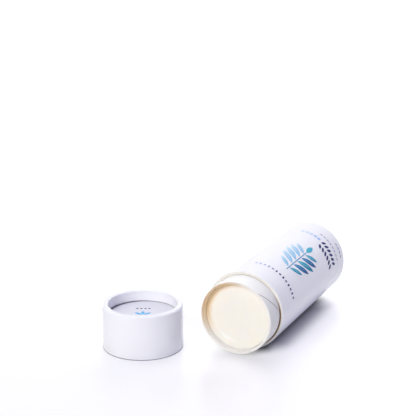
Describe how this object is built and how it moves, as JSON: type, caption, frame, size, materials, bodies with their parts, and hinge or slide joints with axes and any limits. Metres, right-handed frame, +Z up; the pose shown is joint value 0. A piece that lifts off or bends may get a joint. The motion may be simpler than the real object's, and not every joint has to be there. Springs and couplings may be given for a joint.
{
  "type": "push-up paper tube of body balm",
  "caption": "Paper push-up tube of solid body balm lying on its side with the balm face at its open mouth, and its round cap with a recessed end disc standing beside it.",
  "frame": {"origin": "centre of the bounding box's bottom, on the surface that the tube and the cap rest on", "axes": "+Y along the tube from its mouth to its base, +Z up, the cap stands on the -X side"},
  "size_m": [0.0962, 0.1412, 0.0441],
  "materials": {
    "printed_paper": "satin",
    "neck_paper": "matte",
    "disc_paper": "matte",
    "board": "matte",
    "kraft_board": "matte",
    "lining": "satin",
    "balm": "satin",
    "ink_navy": "satin",
    "ink_deep": "satin",
    "ink_teal": "satin",
    "ink_pale": "satin",
    "ink_violet": "satin"
  },
  "bodies": {
    "tube_and_cap": {"outer_tube": "board", "body_wrap": "printed_paper", "inner_tube": "kraft_board", "neck_paper": "neck_paper", "tube_lining": "lining", "cap_shell": "board", "cap_wrap": "printed_paper", "cap_disc": "board", "cap_paper": "disc_paper", "print_beads": "ink_navy", "print_leaves_pale": "ink_pale", "print_leaves_teal": "ink_teal", "print_leaves_deep": "ink_deep", "print_leaf_rows": "ink_navy", "print_accents": "ink_pale", "print_dashes": "ink_violet", "cap_print": "ink_deep"},
    "stick": {"balm": "balm", "push_disc": "board", "push_collar": "board", "push_paper": "disc_paper"}
  },
  "joints": [
    {"name": "push_up", "type": "slide", "parent": "tube_and_cap", "child": "stick", "axis": [0, -1, 0], "range_m": [0, 0.099]}
  ]
}
